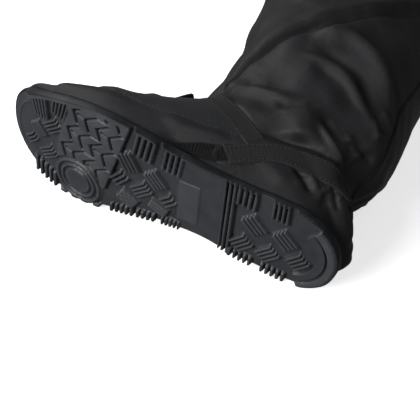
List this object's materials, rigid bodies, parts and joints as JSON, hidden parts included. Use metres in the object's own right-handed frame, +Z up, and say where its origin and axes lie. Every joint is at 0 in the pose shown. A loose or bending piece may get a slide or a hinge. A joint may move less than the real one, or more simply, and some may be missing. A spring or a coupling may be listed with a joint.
{
  "type": "overboot",
  "caption": "Left cloth overboot lying on its inner side: thin lugged rubber sole, hollow black fabric foot and tall shaft, webbing heel band with elastic ends, instep band and collar hem.",
  "frame": {"origin": "centre of the bounding box, on the floor it lies on", "axes": "+Z up, through the boot's outer side; the sole faces -Y and the shaft runs along +Y; the toe points to -X"},
  "size_m": [0.3246, 0.3948, 0.17],
  "materials": {
    "sole_rubber": "moulded rubber, satin",
    "insole_felt": "felt, matte",
    "upper_cloth": "coated cloth, slight sheen",
    "band_webbing": "woven webbing, matte",
    "elastic_webbing": "ribbed elastic, matte"
  },
  "bodies": {
    "root": {"outsole": "sole_rubber", "insole": "insole_felt", "upper": "upper_cloth", "heel_band": "band_webbing", "elastic_lateral": "elastic_webbing", "elastic_medial": "elastic_webbing", "instep_band": "band_webbing", "instep_tab": "band_webbing", "back_strip": "upper_cloth", "collar_hem": "upper_cloth"}
  },
  "joints": []
}
